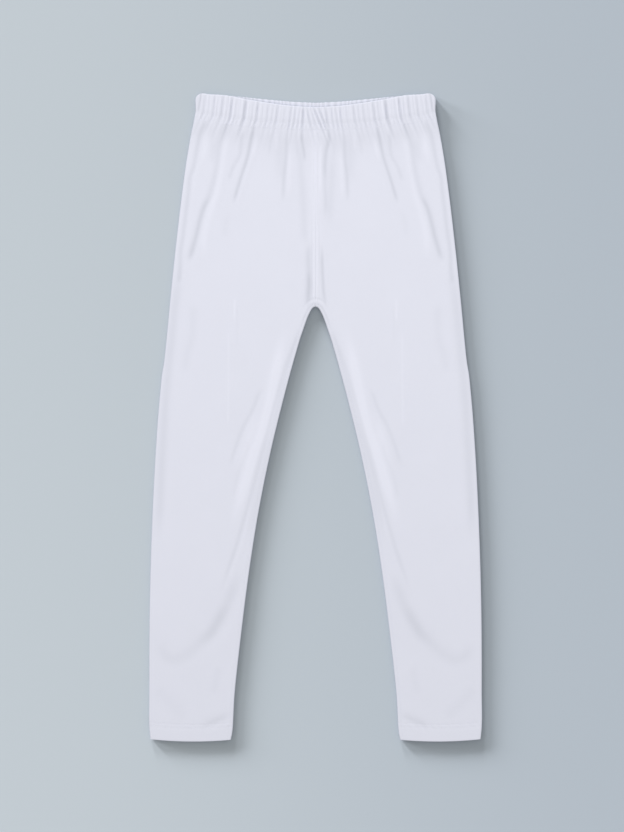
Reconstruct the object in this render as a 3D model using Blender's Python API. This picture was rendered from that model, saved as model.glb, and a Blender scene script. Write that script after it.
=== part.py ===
"""Plain pull-on leggings in white jersey, laid flat with the front up.

Two one-piece legs, each closed by an inseam, meet at the centre front and centre back seams and
hang from a gathered elastic waistband. The garment lies on its back: X runs across it, Y from the
hems up to the waist, and Z up from the surface. Tables are in millimetres, for the wearer's left
side; the right side is its mirror image. Down is measured from the waist's upper corners.
"""

import bmesh
import bpy
import numpy as np

MM = 0.001

# Main sizes, laid flat
LENGTH = 700.0
WAIST_HALF = 129.6
SEAM_HALF = 131.2
RISE = 230.6
BAND_SIDE_DEPTH = 28.0
BAND_CENTRE_DEPTH = 40.0
SEAM_GAP = 0.3

# Cloth, and how high it stands above the surface
PLY = 1.2
FOLD_HEIGHT = 2.2
PANEL_HEIGHT = 4.6
LEAST_GAP = 0.45
FRONT_ROLL = 4.0

# Hem: a thicker turned end with a curved edge
HEM_PLY = 1.7
HEM_DEPTH = 18.5
HEM_BOW = 1.95
HEM_TILT = 0.6
HEM_REACH = 60.0
HEM_GROOVE = 0.25
HEM_GROOVE_DEPTH = 18.0
HEM_GROOVE_HALF = 1.2
HEM_END_PLY = 1.0

# Waistband: two plies over elastic, its front edge dipping below the back one
BAND_HEIGHT = 5.6
BAND_FOLD_HEIGHT = 2.85
BAND_SLIT = 0.5
BAND_SLIT_ROLL = 1.5
BAND_SIDE_WALL = 2.7
BAND_FIRST_COLUMN = 3.4
FRONT_EDGE_DIP = 4.9
FRONT_DIP_HALF = 98.0
BACK_PITCH = 8.0
BACK_RIPPLE = 0.35
EDGE_BEAD = 0.35

# Fading of the waistband's fullness and gathers into the legs
BAND_SWELL_FADE = 14.0
GATHER_FADE = 12.0
GATHER_LEAN = 0.20
GATHER_CREST = 0.45

# Folds: the raised shoulder beside a trough, and the share of the path at which they fade
FOLD_SHOULDER = 0.35
FOLD_SHOULDER_SHIFT = 2.1
FOLD_FADE = 0.15
FOLD_PIECES = 6

# Upper edge of the waistband's back: (across from the centre, down from the corners)
TOP_EDGE = [
    (0, 10.0), (26.9, 8.7), (48.6, 6.8), (70.2, 4.7), (91.9, 2.5), (109, 1.3), (116, 1.0),
    (119.5, 0.6), (122, 0.15), (124, 0.0), (126, 0.5), (127.5, 1.2), (128.6, 2.4), (129.6, 4.4),
]

# Outer fold of the garment: (down from the waist corner, across from the centre)
OUTER_EDGE = [
    (0, 128.6), (5, 129.6), (20, 129.8), (28, 131.2), (45, 134.7), (71, 139.2), (106, 144.0),
    (158, 150.2), (227, 157.4), (272, 161.7), (291, 163.8), (303, 165.8), (323, 167.9),
    (385, 172.6), (450, 176.0), (547, 179.1), (645, 179.7), (690, 179.3), (700, 178.2),
]

# Crotch arch and inseam: (across from the centre, down from the waist corner)
INSEAM = [
    (0, 230.6), (3.4, 232.2), (6.6, 237.6), (9.4, 244.1), (13.5, 256), (18.6, 271.6),
    (32.0, 320), (48.0, 385), (61.2, 450), (71.5, 515), (79.8, 580), (87.0, 645), (89.3, 685),
    (91.4, 698.2),
]

# Gathers of the waistband: (across from the centre, depth of the trough, half width)
GATHERS = [
    (0.5, 0.35, 2.0), (6.5, 0.55, 1.8), (13.0, 0.90, 2.4), (22.2, 0.55, 1.8), (27.0, 0.70, 1.9),
    (33.5, 0.30, 1.6), (41.6, 0.60, 2.2), (46.5, 0.35, 1.6), (52.0, 0.40, 1.9), (63.3, 0.80, 2.3),
    (68.2, 0.35, 1.6), (76.8, 1.20, 2.8), (86.6, 0.25, 1.6), (92.0, 0.90, 2.3), (101.7, 0.70, 2.2),
    (111.4, 0.45, 2.0), (121.2, 0.50, 2.4),
]

# Folds of the front: depth, half width, then the path as (across, down)
FOLDS = [
    (0.75, 4.2, [(121, 33), (126, 45), (129, 61), (132, 82), (136, 104), (141.5, 147), (146, 190),
                 (150.5, 228), (154, 261), (158, 293), (161.5, 326), (164.5, 374), (167, 423),
                 (168.5, 456), (170, 480)]),
    (0.90, 3.8, [(96, 34), (101, 45), (106, 61), (111, 82), (116, 104), (121, 126), (126.6, 147),
                 (133, 169), (139, 188)]),
    (1.20, 3.6, [(66.5, 37), (70.3, 51), (72.5, 62), (75.7, 75), (81, 91), (86.5, 107), (92, 130)]),
    (0.50, 3.6, [(78, 40), (79, 55), (83, 70), (88, 84)]),
    (0.50, 3.6, [(47.6, 42), (49, 55), (51, 68), (53, 85)]),
    (0.70, 3.6, [(29, 42), (30, 55), (32.5, 75), (34.5, 104), (38, 126), (47, 150)]),
    (1.00, 3.2, [(16.2, 41), (14.5, 51), (12.2, 66), (11, 82), (11.2, 126), (13, 150), (16, 172)]),
    (1.10, 3.0, [(6.0, 168), (7.4, 190), (8.0, 212), (7.6, 224), (9.5, 236)]),
    (1.00, 3.6, [(14, 243), (23.5, 266), (34, 300), (45, 344), (57.5, 390), (70.5, 440), (78, 472),
                 (87.5, 504), (97, 526), (110, 553)]),
    (0.70, 4.4, [(60, 318), (65, 331), (72, 344), (80, 359), (87.5, 385)]),
    (0.35, 4.0, [(75, 388), (82, 407), (88, 425)]),
    (1.10, 6.0, [(80, 512), (88.7, 537), (96, 555), (103, 570), (112, 585), (126, 600),
                 (142, 606), (156, 602), (164, 588)]),
    (0.70, 4.6, [(88, 672), (100, 679), (112, 684), (124, 688)]),
    (0.40, 6.0, [(168, 648), (161, 664), (150, 676), (138, 682)]),
]

# Rows of the legs: on the centre line by depth, along the inseam from the crotch, above the hem
CENTRE_ROWS = [46, 54, 64, 78, 96, 118, 142, 166, 189, 211, 224, 228.3]
INSEAM_ROWS = [
    0, 4, 9, 16, 28, 46, 70, 94, 118, 142, 166, 190, 214, 238, 260, 280, 298, 314, 329, 342, 353,
    362, 370, 377, 384, 391, 399, 409, 421, 435, 447,
]
HEM_ROWS = [25.0, 19.5, 18.0, 16.0, 8.0, 1.2, 0.35, 0.0]
END_ROUNDING = [(-2, 0.3), (-1, 1.0)]
CROTCH_TURN = 12.0
CROTCH_REACH = 40.0
CROTCH_LEAVE = 22.0
WAIST_REACH = 90.0

# Columns of the legs: degrees round the folds, and shares of the back's width
FRONT_ANGLES = [0.0, 35.0, 65.0]
BACK_ANGLES = [0.0, 45.0]
BACK_COLUMNS = [0.0, 0.25, 0.5, 0.75, 1.0]
LEVEL_BELOW = 0.02
MAIN_GATHER = 0.35

# Round the waistband's section: share up from the seam, shift, lift, share through the wall
BAND_ROWS = [
    (0.00, 0.0, -0.15, 0.0), (0.12, 0.0, 0.10, 0.0), (0.25, 0.0, -0.30, 0.0),
    (0.40, 0.0, 0.12, 0.0), (0.62, 0.0, 0.22, 0.0), (0.84, 0.0, 0.10, 0.0),
    (1.00, -1.20, 0.0, 0.0), (1.00, -0.35, 0.0, 0.15), (1.00, 0.0, 0.0, 0.5),
    (1.00, -0.35, 0.0, 0.85), (1.00, -1.20, 0.0, 1.0), (0.50, 0.0, 0.0, 1.0), (0.00, 0.0, 0.0, 1.0),
]

CLOTH_COLOUR = (0.80, 0.81, 0.88, 1.0)
CLOTH_ROUGHNESS = 0.9


def smooth_curve(table, at):
    """Value at a place on the smooth curve through a table's rows."""
    xs, ys = np.array(table, float).T
    slopes = np.gradient(ys, xs)
    at = np.clip(np.asarray(at, float), xs[0], xs[-1])
    i = np.clip(np.searchsorted(xs, at) - 1, 0, len(xs) - 2)
    step = xs[i + 1] - xs[i]
    t = (at - xs[i]) / step
    start = ys[i] * (1 + 2 * t) * (1 - t) ** 2 + slopes[i] * step * t * (1 - t) ** 2
    end = ys[i + 1] * t * t * (3 - 2 * t) + slopes[i + 1] * step * t * t * (t - 1)
    return start + end


def path_through(points, pieces):
    """Dense points of a smooth path through the given points."""
    p = np.array(points, float)
    p = np.vstack([2 * p[0] - p[1], p, 2 * p[-1] - p[-2]])
    t = np.linspace(0, 1, pieces, endpoint=False)[:, None]
    runs = []
    for a, b, c, d in zip(p, p[1:], p[2:], p[3:]):
        bend = (2 * a - 5 * b + 4 * c - d) * t**2 + (3 * b - a - 3 * c + d) * t**3
        runs.append(0.5 * (2 * b + (c - a) * t + bend))
    return np.vstack([*runs, p[-2:-1]])


def nearest(points, line):
    """Distance of each point from a line of points, and the share of the way along it."""
    along = np.concatenate([[0], np.cumsum(np.linalg.norm(np.diff(line, axis=0), axis=1))])
    best = np.full(len(points), np.inf)
    place = np.zeros(len(points))
    for k, (start, end) in enumerate(zip(line, line[1:])):
        run = end - start
        share = np.clip((points - start) @ run / (run @ run), 0, 1)
        away = np.linalg.norm(points - start - share[:, None] * run, axis=1)
        nearer = away < best
        best[nearer] = away[nearer]
        place[nearer] = (along[k] + share * (along[k + 1] - along[k]))[nearer]
    return best, place / along[-1]


def inseam_line(pieces=16):
    """Dense points of the crotch arch and inseam, level at the crotch."""
    across, down = INSEAM[1]
    return path_through([(-across, down), *INSEAM], pieces)[pieces:]


def outer_line(points=201):
    """Dense points of the outer fold."""
    down = np.linspace(0, LENGTH, points)
    return np.stack([smooth_curve(OUTER_EDGE, down), down], axis=1)


INSEAM_LINE = inseam_line()
OUTER_LINE = outer_line()


def eased(share):
    """A share from 0 to 1 with a soft start and end."""
    share = np.clip(share, 0, 1)
    return share * share * (3 - 2 * share)


def rolled(away, roll):
    """Share of the full height at a distance from a folded edge: a quarter of an ellipse."""
    return np.sqrt(1 - (1 - np.clip(away / roll, 0, 1)) ** 2)


def band_bottom(across):
    """Depth of the seam between the waistband and the legs."""
    drop = BAND_CENTRE_DEPTH - BAND_SIDE_DEPTH
    return BAND_CENTRE_DEPTH - drop * (across / SEAM_HALF) ** 2


def band_top(across, front):
    """Depth of the waistband's upper edge, which is lower in front."""
    dip = FRONT_EDGE_DIP * np.clip(1 - (across / FRONT_DIP_HALF) ** 2, 0, 1)
    return smooth_curve(TOP_EDGE, np.abs(across)) + np.where(front, dip, 0.0)


def gathers(across, down):
    """Height of the front's gathers: troughs below a crest."""
    middle = BAND_SIDE_DEPTH - BAND_HEIGHT
    height = np.full(np.shape(across), GATHER_CREST)
    for place, depth, half in GATHERS:
        centre = place + GATHER_LEAN * (down - middle)
        height = height - depth * np.exp(-(((np.abs(across) - centre) / half) ** 2))
    return height


def folds(points):
    """Height of the front's folds at (across, down) points: troughs with soft shoulders."""
    height = np.zeros(len(points))
    for depth, half, path in FOLDS:
        away, place = nearest(points, path_through(path, FOLD_PIECES))
        fade = eased(np.minimum(place, 1 - place) / FOLD_FADE)
        q = away / half
        shoulder = FOLD_SHOULDER * np.exp(-((q - FOLD_SHOULDER_SHIFT) ** 2))
        height -= depth * fade * (np.exp(-(q**2)) - shoulder)
    return height


def hem_distance(points):
    """How far points are above the hem, near it."""
    first, end = INSEAM[-1]
    share = (points[:, 0] - first) / (OUTER_EDGE[-1][1] - first)
    return end + hem_bow(share) - points[:, 1]


def hem_bow(share):
    """How far the hem drops below its inner corner, by the share of its width."""
    return HEM_BOW * 4 * share * (1 - share) - HEM_TILT * share**2


def front_height(points):
    """Height of the front panel above the surface, away from its edges."""
    across, down = points.T
    below_band = down - band_bottom(across)
    swell = (BAND_HEIGHT - PANEL_HEIGHT) * np.exp(-((below_band / BAND_SWELL_FADE) ** 2))
    fading = np.exp(-((below_band / GATHER_FADE) ** 2))
    from_stitches = (hem_distance(points) - HEM_GROOVE_DEPTH) / HEM_GROOVE_HALF
    stitched = np.exp(-(from_stitches**2))
    height = PANEL_HEIGHT + swell + fading * gathers(across, down) + folds(points)
    return np.maximum(height, 2 * HEM_PLY + LEAST_GAP) - HEM_GROOVE * stitched


def panel_shares():
    """Columns of the front panel on its main gathers' troughs and crests, as shares of it."""
    troughs = [place for place, depth, _ in GATHERS if depth >= MAIN_GATHER and place > FRONT_ROLL]
    crests = [(a + b) / 2 for a, b in zip(troughs, troughs[1:])]
    last = WAIST_HALF - FRONT_ROLL
    places = np.array(sorted([FRONT_ROLL, *troughs, *crests, last]))
    return (places - FRONT_ROLL) / (last - FRONT_ROLL)


def row_starts():
    """Each row's first point, its turn at the crotch, and whether the inseam closes it there."""
    starts = []
    for down in [BAND_CENTRE_DEPTH + SEAM_GAP / 2, *CENTRE_ROWS]:
        turn = eased(1 - (RISE - down) / CROTCH_REACH)
        starts.append((SEAM_GAP / 2, down, float(turn), False))
    along = np.concatenate([[0], np.cumsum(np.linalg.norm(np.diff(INSEAM_LINE, axis=0), axis=1))])
    for place in [*INSEAM_ROWS, *[along[-1] - above for above in HEM_ROWS]]:
        across = max(np.interp(place, along, INSEAM_LINE[:, 0]), SEAM_GAP / 2)
        down = np.interp(place, along, INSEAM_LINE[:, 1])
        starts.append((across, down, float(np.exp(-((place / CROTCH_LEAVE) ** 2))), True))
    return starts


def row_down(across, start):
    """Depth of a row's points: level, but bent towards the waist, the crotch and the hem."""
    first, down, turn, _ = start
    rise = CROTCH_TURN * turn * (1 - np.exp(-(across - first) / CROTCH_TURN))
    waist = np.clip(1 - (down - BAND_CENTRE_DEPTH) / WAIST_REACH, 0, 1)
    lift = (BAND_CENTRE_DEPTH - band_bottom(across)) * waist
    near_hem = eased(1 - (INSEAM[-1][1] - down) / HEM_REACH)
    share = (across - first) / (OUTER_EDGE[-1][1] - INSEAM[-1][0])
    return down - rise - lift + near_hem * hem_bow(share)


def leg_row(start):
    """One ring of the leg, from the seam's front edge, over the outer fold, to its back edge."""
    first, down, _, closed = start
    outer = float(smooth_curve(OUTER_EDGE, down))
    for _ in range(4):
        outer = float(smooth_curve(OUTER_EDGE, row_down(outer, start)))
    width = outer - first
    front_roll = FRONT_ROLL * (1 - np.cos(np.radians(FRONT_ANGLES)))
    back_roll = FOLD_HEIGHT * (1 - np.cos(np.radians(BACK_ANGLES)))
    panel = FRONT_ROLL + panel_shares() * (width - 2 * FRONT_ROLL)
    back = FOLD_HEIGHT + np.array(BACK_COLUMNS) * (width - 2 * FOLD_HEIGHT)
    front_across = np.concatenate([front_roll, panel, width - front_roll[::-1]])
    back_across = np.concatenate([width - back_roll[1:], back[::-1], back_roll[::-1]])
    across = first + np.concatenate([front_across, back_across])
    points = np.stack([across, row_down(across, start)], axis=1)
    away = np.minimum(nearest(points, INSEAM_LINE)[0], nearest(points, OUTER_LINE)[0])
    top = FOLD_HEIGHT + (front_height(points) - FOLD_HEIGHT) * rolled(away, FRONT_ROLL)
    under = FOLD_HEIGHT * (1 - rolled(away, FOLD_HEIGHT))
    is_front = np.arange(len(across)) < len(front_across)
    height = np.where(is_front, top, under)
    height[len(front_across) - 1] = FOLD_HEIGHT
    flat = ~is_front & (under < LEVEL_BELOW)
    height[flat] = 0.0
    if closed:
        height[0] = FOLD_HEIGHT + SEAM_GAP / 2
        height[-1] = FOLD_HEIGHT - SEAM_GAP / 2
    return np.column_stack([across, LENGTH / 2 - points[:, 1], height])


def leg_normals(grid, first_closed):
    """Outward directions of the leg's outer skin, square to its cut edges."""
    normals = np.cross(np.gradient(grid, axis=0), np.gradient(grid, axis=1))
    seam = np.gradient(grid[:, 0], axis=0)
    outwards = np.column_stack([seam[:, 1], -seam[:, 0], np.zeros(len(seam))])
    for edge in (0, -1):
        normals[:first_closed, edge, 0] = 0
        normals[first_closed:, edge] = outwards[first_closed:]
        normals[first_closed, edge] = (0, -1, 0)
        normals[edge, :, 1] = 0
    return normals / np.linalg.norm(normals, axis=2, keepdims=True)


def leg_skins():
    """Outer and inner skins of the wearer's left leg, as grids of rows from waist to hem."""
    starts = row_starts()
    outer = np.array([leg_row(start) for start in starts])
    first_closed = [closed for *_, closed in starts].index(True)
    normals = leg_normals(outer, first_closed)
    ply = np.full(outer.shape[:2], PLY)
    panel = slice(len(FRONT_ANGLES), len(FRONT_ANGLES) + len(panel_shares()))
    hem_rows = [k for k, above in enumerate(HEM_ROWS) if above < HEM_DEPTH]
    for k in hem_rows:
        ply[len(starts) - len(HEM_ROWS) + k, panel] = HEM_PLY
    inner = outer - ply[:, :, None] * normals
    for k, rounding in END_ROUNDING:
        inset = rounding * (ply[k] - HEM_END_PLY)[:, None] / 2
        outer[k] -= inset * normals[k]
        inner[k] += inset * normals[k]
    return outer, inner


def sheet_faces(rows, columns):
    """Faces of a closed wall made from two grids of points, stored one after the other."""
    count = rows * columns
    faces = []
    for i in range(rows - 1):
        for j in range(columns - 1):
            a, b = i * columns + j, i * columns + j + 1
            c, d = b + columns, a + columns
            faces.append((a, d, c, b))
            faces.append((count + a, count + b, count + c, count + d))
    edge = [j for j in range(columns)]
    edge += [i * columns + columns - 1 for i in range(1, rows)]
    edge += [(rows - 1) * columns + j for j in range(columns - 2, -1, -1)]
    edge += [i * columns for i in range(rows - 2, 0, -1)]
    for a, b in zip(edge, edge[1:] + edge[:1]):
        faces.append((a, b, count + b, count + a))
    return faces


def ring_faces(rows, columns):
    """Faces of a grid of points that closes on itself both ways."""
    faces = []
    for i in range(rows):
        for j in range(columns):
            below, beside = (i + 1) % rows, (j + 1) % columns
            faces.append((i * columns + j, i * columns + beside,
                          below * columns + beside, below * columns + j))
    return faces


def band_columns():
    """Places across the waistband all the way round, and which of them are on the front."""
    troughs = [place for place, _, _ in GATHERS if place > BAND_FIRST_COLUMN]
    crests = [(a + b) / 2 for a, b in zip(troughs, troughs[1:])]
    roll = WAIST_HALF - FRONT_ROLL * (1 - np.cos(np.radians(FRONT_ANGLES)))
    flat_half = WAIST_HALF - FRONT_ROLL
    half = [*sorted([BAND_FIRST_COLUMN, *troughs, *crests]), flat_half, *roll[::-1]]
    front = [-place for place in half[::-1]] + [0.0] + half
    count = 2 * round((WAIST_HALF - BAND_FOLD_HEIGHT) / BACK_PITCH)
    flat = np.linspace(0, WAIST_HALF - BAND_FOLD_HEIGHT, count + 1)
    near_fold = WAIST_HALF - BAND_FOLD_HEIGHT * (1 - np.cos(np.radians(BACK_ANGLES[-1])))
    back = [near_fold, *flat[::-1], *[-place for place in flat[1:]], -near_fold]
    is_front = [True] * len(front) + [False] * len(back)
    return np.array(front + back), np.array(is_front), flat[2]


def band_row(row, places, is_front, pitch):
    """One ring of the waistband, at one place round its section."""
    up, shift, lift, through = row
    bottom = band_bottom(places * SEAM_HALF / WAIST_HALF) - SEAM_GAP / 2
    top = band_top(places, is_front)
    down = bottom + (top - bottom) * up - shift
    outer_half = smooth_curve(OUTER_EDGE, down)
    across = places * outer_half / WAIST_HALF
    away = WAIST_HALF - np.abs(places)
    ripple = 0.5 - 0.5 * np.cos(2 * np.pi * places / pitch)
    front_z = BAND_HEIGHT + lift + gathers(across, down) - BAND_FOLD_HEIGHT
    front_z = BAND_FOLD_HEIGHT + front_z * rolled(away, FRONT_ROLL)
    roll = rolled(away, BAND_FOLD_HEIGHT)
    back_z = BAND_FOLD_HEIGHT * (1 - roll) + roll * (BACK_RIPPLE * ripple + max(-lift, 0))
    outer_z = np.where(is_front, front_z, back_z)
    inside = across * (outer_half - BAND_SIDE_WALL) / outer_half
    opening = BAND_SLIT / 2 * rolled(away, BAND_SLIT_ROLL)
    inner_z = BAND_FOLD_HEIGHT + np.where(is_front, opening, -opening)
    bead = EDGE_BEAD * ripple * np.sin(np.pi * through) * np.where(is_front, 0, roll)
    x = across * (1 - through) + inside * through
    z = outer_z * (1 - through) + inner_z * through + bead
    return np.column_stack([x, LENGTH / 2 - down, z])


def band_rings():
    """The waistband as rings of points that follow one another round its section."""
    places, is_front, pitch = band_columns()
    return np.array([band_row(row, places, is_front, pitch) for row in BAND_ROWS])


def cloth(name):
    """A plain matt jersey material."""
    material = bpy.data.materials.new(name)
    material.use_nodes = True
    shader = material.node_tree.nodes["Principled BSDF"]
    shader.inputs["Base Color"].default_value = CLOTH_COLOUR
    shader.inputs["Roughness"].default_value = CLOTH_ROUGHNESS
    return material


def add_solid(name, points, faces):
    """One closed body from points in millimetres, its faces turned outwards."""
    mesh = bpy.data.meshes.new(name)
    mesh.from_pydata((np.asarray(points) * MM).tolist(), [], faces)
    body = bmesh.new()
    body.from_mesh(mesh)
    bmesh.ops.recalc_face_normals(body, faces=body.faces)
    body.to_mesh(mesh)
    body.free()
    mesh.materials.append(cloth(name + "_jersey"))
    solid = bpy.data.objects.new(name, mesh)
    bpy.context.scene.collection.objects.link(solid)
    return solid


def build():
    """The waistband and the two legs."""
    for old in list(bpy.data.objects):
        bpy.data.objects.remove(old)
    rings = band_rings()
    add_solid("waistband", rings.reshape(-1, 3), ring_faces(*rings.shape[:2]))
    outer, inner = leg_skins()
    points = np.vstack([outer.reshape(-1, 3), inner.reshape(-1, 3)])
    faces = sheet_faces(*outer.shape[:2])
    add_solid("leg_left", points, faces)
    add_solid("leg_right", points * (-1, 1, 1), faces)


build()
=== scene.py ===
"""Looks for plain white jersey leggings, laid flat with the front up.

Each leg and the waistband is a thin cloth shell on the form of its solid, with the gathers of the
elastic, the folds that hang from them and the creases of the legs placed one by one. The seams
and hems are sewn with rows of thread. Tables are in millimetres, for the wearer's left side:
across is measured from the centre seam, and down from the waist's upper corners.
"""

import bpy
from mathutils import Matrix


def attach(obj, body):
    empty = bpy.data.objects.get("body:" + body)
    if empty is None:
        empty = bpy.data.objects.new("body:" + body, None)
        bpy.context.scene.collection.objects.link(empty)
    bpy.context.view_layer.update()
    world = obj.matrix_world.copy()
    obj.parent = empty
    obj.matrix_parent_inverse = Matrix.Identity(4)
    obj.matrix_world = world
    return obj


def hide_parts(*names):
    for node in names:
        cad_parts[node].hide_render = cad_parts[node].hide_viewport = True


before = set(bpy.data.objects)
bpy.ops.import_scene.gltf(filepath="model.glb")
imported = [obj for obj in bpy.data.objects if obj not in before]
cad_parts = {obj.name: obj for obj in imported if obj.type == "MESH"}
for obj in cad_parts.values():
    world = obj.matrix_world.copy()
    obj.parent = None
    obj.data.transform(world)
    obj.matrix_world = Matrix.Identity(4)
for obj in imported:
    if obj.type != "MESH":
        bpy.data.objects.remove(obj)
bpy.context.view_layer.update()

import logging
import math
from dataclasses import dataclass, field
from enum import Enum

import bpy
import numpy as np
from mathutils import Vector

logging.basicConfig(level=logging.INFO, format="%(message)s")
log = logging.getLogger("leggings")

MM = 0.001
Array = np.ndarray
Table = list[tuple[float, float]]
Colour = tuple[float, float, float, float]

# Millimetres from the hem's edge, the inseam and the centre seam to their rows of stitches
HEM_STITCHES = (18.3, 14.6)
INSEAM_STITCHES = 3.3
CENTRE_STITCHES = 2.1

# Degrees round a folded edge at which the cloth has points, on the front and on the back
FRONT_TURNS = (0, 15, 30, 45, 60, 75)
BACK_TURNS = (25, 50, 72)

# Least and greatest value of the attribute of painted shade, negative where it paints a highlight
PAINTED_SHADING_RANGE = (-0.4, 1.7)


class Side(Enum):
    """The wearer's side, as the sign of X."""

    LEFT = 1
    RIGHT = -1


class Face(Enum):
    """Which layer of the flat garment a line of sewing is on."""

    FRONT = "front"
    BACK = "back"


def smooth_curve(table: Table, at: Array) -> Array:
    """Read a smooth curve through a table's rows.

    Args:
        table: Rows of a place and the value there.
        at: Places to read.

    Returns:
        The value at each place.
    """
    xs, ys = np.array(table, float).T
    slopes = np.gradient(ys, xs)
    at = np.clip(np.asarray(at, float), xs[0], xs[-1])
    i = np.clip(np.searchsorted(xs, at) - 1, 0, len(xs) - 2)
    step = xs[i + 1] - xs[i]
    t = (at - xs[i]) / step
    start = ys[i] * (1 + 2 * t) * (1 - t) ** 2 + slopes[i] * step * t * (1 - t) ** 2
    end = ys[i + 1] * t * t * (3 - 2 * t) + slopes[i + 1] * step * t * t * (t - 1)
    return start + end


def path_through(points: Table, pieces: int) -> Array:
    """Make a smooth path through points.

    Args:
        points: The points that the path passes through.
        pieces: Number of short pieces between two of them.

    Returns:
        The path's points, one a row.
    """
    p = np.array(points, float)
    p = np.vstack([2 * p[0] - p[1], p, 2 * p[-1] - p[-2]])
    t = np.linspace(0, 1, pieces, endpoint=False)[:, None]
    runs = []
    for a, b, c, d in zip(p, p[1:], p[2:], p[3:]):
        bend = (2 * a - 5 * b + 4 * c - d) * t**2 + (3 * b - a - 3 * c + d) * t**3
        runs.append(0.5 * (2 * b + (c - a) * t + bend))
    return np.vstack([*runs, p[-2:-1]])


def lengths_along(line: Array) -> Array:
    """Length of a line of points from its start to each of them."""
    return np.concatenate([[0], np.cumsum(np.linalg.norm(np.diff(line, axis=0), axis=1))])


def nearest(points: Array, line: Array) -> tuple[Array, Array]:
    """Measure points from a line.

    Args:
        points: Points as across and down.
        line: The line's points, in order.

    Returns:
        Each point's distance, negative on the line's inner side, and its share of the way along.
    """
    along = lengths_along(line)
    best = np.full(len(points), np.inf)
    place = np.zeros(len(points))
    for k, (start, end) in enumerate(zip(line, line[1:])):
        run = end - start
        off = points - start
        share = np.clip(off @ run / (run @ run), 0, 1)
        away = np.linalg.norm(off - share[:, None] * run, axis=1)
        closer = away < np.abs(best)
        side = np.where(off[:, 0] * run[1] - off[:, 1] * run[0] < 0, -1.0, 1.0)
        best[closer] = (away * side)[closer]
        place[closer] = (along[k] + share * (along[k + 1] - along[k]))[closer]
    return best, place / along[-1]


def eased(share: Array) -> Array:
    """A share from 0 to 1 with a soft start and end."""
    share = np.clip(share, 0, 1)
    return share * share * (3 - 2 * share)


def between(at: Array, first: float, rise: float, last: Array | float, fall: float) -> Array:
    """A share that eases in over a rise from the first place and out over a fall from the last."""
    return eased((at - first) / rise) * (1 - eased((at - last) / fall))


def turned_in(radius: float, degrees: tuple[float, ...]) -> Array:
    """Distances inwards from a folded edge of that radius, at turns in degrees."""
    return radius * (1 - np.cos(np.radians(degrees)))


def rolled(away: Array, roll: float, power: float = 2.0) -> Array:
    """Share of the full height at a distance from a folded edge; a higher power is squarer."""
    return (1 - (1 - np.clip(away / roll, 0, 1)) ** power) ** (1 / power)


def bell(away: Array, half: float) -> Array:
    """A soft rounded bump, 1 at the middle."""
    return np.exp(-((away / half) ** 2))


def waves(points: Array, size: float, seed: int) -> Array:
    """Sum soft waves in many directions, for the slight unevenness of laid cloth.

    Args:
        points: Points as across and down.
        size: The usual length of a wave.
        seed: Start of the repeatable random numbers.

    Returns:
        A height from about -1 to 1 at each point.
    """
    rng = np.random.default_rng(seed)
    total = np.zeros(len(points))
    for _ in range(9):
        turn, phase = rng.uniform(0, 2 * math.pi, 2)
        length = size * rng.uniform(0.7, 1.6)
        ray = np.array([math.cos(turn), 0.55 * math.sin(turn)])
        total += np.sin(points @ ray * (2 * math.pi / length) + phase)
    return total / 4.0


@dataclass(frozen=True)
class Line:
    """A ridge or groove along a seam or path: its place beside it, half width, height, tone."""

    place: float
    half: float
    height: float
    # Shade painted along the line, negative where a highlight is painted
    tone: float = 0.0


def lined(away: Array, lines: list[Line]) -> tuple[Array, Array]:
    """Add ridges and grooves up.

    Args:
        away: Distances from the seam or path.
        lines: The ridges and grooves beside it.

    Returns:
        Their height, and the shade they paint on the cloth, negative for a painted highlight.
    """
    bumps = [bell(away - line.place, line.half) for line in lines]
    height = sum(line.height * bump for line, bump in zip(lines, bumps))
    return height, sum(line.tone * bump for line, bump in zip(lines, bumps))


# Forms across a fold and a gather, in half widths from the path; a drag fold's by its side
TROUGH = [Line(0.0, 1.0, -1.0), Line(2.1, 1.0, 0.3), Line(-2.1, 1.0, 0.3)]
SUNK_DRAG = [Line(-0.5, 1.0, -1.0), Line(-2.4, 1.1, 0.45)]
RAISED_DRAG = [Line(0.3, 1.0, -0.45), Line(-1.3, 1.2, 0.75)]
GATHER = [Line(0.0, 1.0, 1.0), Line(-2.1, 0.9, -0.40), Line(2.1, 0.9, -0.25)]


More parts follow.
